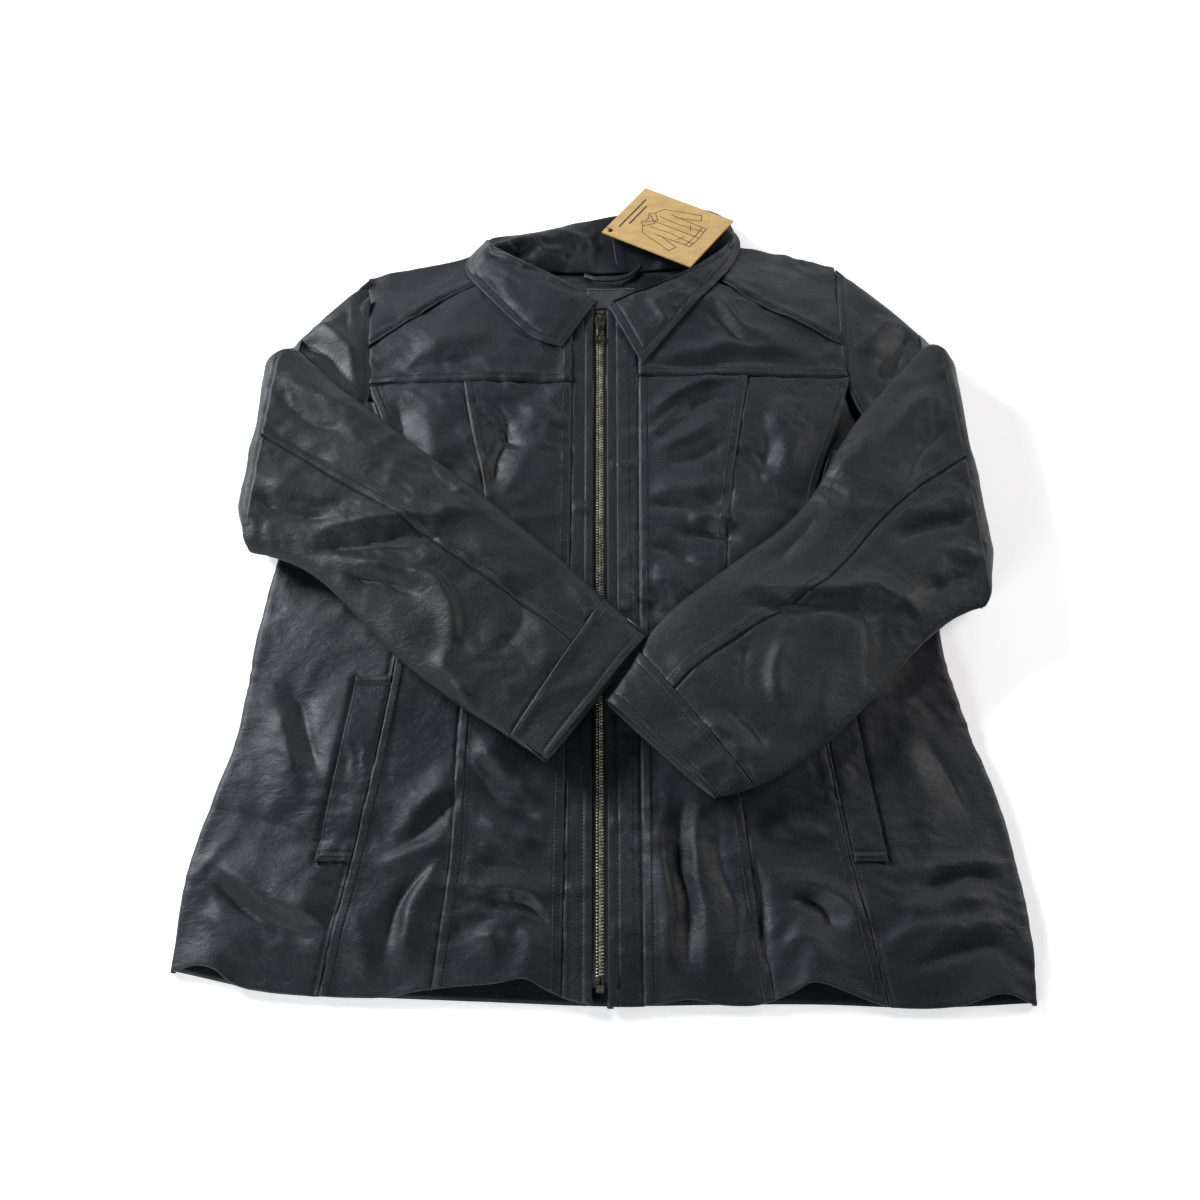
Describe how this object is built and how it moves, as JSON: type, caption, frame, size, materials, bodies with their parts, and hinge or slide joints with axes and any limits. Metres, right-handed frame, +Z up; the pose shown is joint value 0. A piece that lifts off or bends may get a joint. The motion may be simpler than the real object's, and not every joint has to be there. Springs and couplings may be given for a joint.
{
  "type": "leather jacket",
  "caption": "Zip-front leather jacket with shirt collar and welt pockets, lying flat on its back with its sleeves folded across the front.",
  "frame": {"origin": "on the surface the jacket lies on, under the middle of the front, on the line of the zip", "axes": "+X across the jacket towards the wearer's left, +Y from the hem to the collar, +Z up from the surface it lies on"},
  "size_m": [0.6365, 0.7626, 0.0515],
  "materials": {
    "leather": "soft black nappa with a low satin sheen",
    "lining": "black woven lining",
    "tape": "black woven zip tape",
    "metal": "antique nickel-brass",
    "card": "brown kraft card",
    "string": "brown twisted thread",
    "label": "pale woven label, blank"
  },
  "bodies": {
    "jacket_body": {"back_panel": "leather", "back_yoke": "leather", "collar_back_fall": "leather", "collar_stand": "leather", "facing_left": "leather", "facing_right": "leather", "front_centre_left": "leather", "front_centre_right": "leather", "front_middle_left": "leather", "front_middle_right": "leather", "front_side_left": "leather", "front_side_right": "leather", "front_yoke_left": "leather", "front_yoke_right": "leather", "hanger_loop": "leather", "lining_back": "lining", "lining_front_left": "lining", "lining_front_right": "lining", "neck_label": "label", "placket_left": "leather", "placket_right": "leather", "pocket_bag_left": "lining", "pocket_bag_right": "lining", "pocket_welt_left": "leather", "pocket_welt_right": "leather", "shoulder_left": "leather", "shoulder_right": "leather", "sleeve_head_left": "leather", "sleeve_head_lining_left": "lining", "sleeve_head_lining_right": "lining", "sleeve_head_right": "leather", "tag_string": "string", "zip_box": "metal", "zip_pin": "metal", "zip_tape_left": "tape", "zip_tape_right": "tape", "zip_teeth_left": "metal", "zip_teeth_right": "metal", "zip_top_stop_left": "metal", "zip_top_stop_right": "metal"},
    "sleeve_left": {"sleeve_outer_left": "leather", "sleeve_inner_left": "leather", "cuff_left": "leather", "sleeve_lining_left": "lining"},
    "sleeve_right": {"sleeve_outer_right": "leather", "sleeve_inner_right": "leather", "cuff_right": "leather", "sleeve_lining_right": "lining"},
    "zip_slider": {"zip_slider": "metal"},
    "pull_link": {"zip_pull_link": "metal"},
    "pull_ring": {"zip_pull_ring": "metal"},
    "collar_left": {"collar_leaf_left": "leather"},
    "collar_right": {"collar_leaf_right": "leather"},
    "tag_back": {"tag_back_leaf": "card"},
    "tag_front": {"tag_front_leaf": "card"}
  },
  "joints": [
    {"name": "zip_slide", "type": "slide", "parent": "jacket_body", "child": "zip_slider", "axis": [0, -0.9997, -0.0233], "range_m": [0, 0.568]},
    {"name": "pull_link_swing", "type": "hinge", "parent": "zip_slider", "child": "pull_link", "pos_m": [0, 0.26702, 0.02786], "axis": [-1, 0, 0], "range_deg": [0, 120]},
    {"name": "pull_ring_swing", "type": "hinge", "parent": "pull_link", "child": "pull_ring", "pos_m": [0, 0.26162, 0.02773], "axis": [-1, 0, 0], "range_deg": [0, 60]},
    {"name": "sleeve_left_unfold", "type": "hinge", "parent": "jacket_body", "child": "sleeve_left", "pos_m": [-0.287, 0.146, 0.027], "axis": [-0.0691, -0.9976, 0], "range_deg": [0, 175]},
    {"name": "collar_left_turn_up", "type": "hinge", "parent": "jacket_body", "child": "collar_left", "pos_m": [-0.055, 0.322, 0.0315], "axis": [-0.8529, 0.5222, 0], "range_deg": [0, 90]},
    {"name": "sleeve_right_unfold", "type": "hinge", "parent": "jacket_body", "child": "sleeve_right", "pos_m": [0.31, 0.121, 0.027], "axis": [-0.0773, 0.997, 0], "range_deg": [0, 175]},
    {"name": "collar_right_turn_up", "type": "hinge", "parent": "jacket_body", "child": "collar_right", "pos_m": [0.064, 0.3145, 0.0315], "axis": [-0.8879, -0.4601, 0], "range_deg": [0, 90]},
    {"name": "tag_lift", "type": "hinge", "parent": "jacket_body", "child": "tag_back", "pos_m": [0.00983, 0.38095, 0.01449], "axis": [-0.0093, -0.9798, 0.2], "range_deg": [0, 45]},
    {"name": "tag_open", "type": "hinge", "parent": "tag_back", "child": "tag_front", "pos_m": [0.0015, 0.3794, 0.014], "axis": [0.8121, -0.5511, 0.192], "range_deg": [0, 80]}
  ]
}
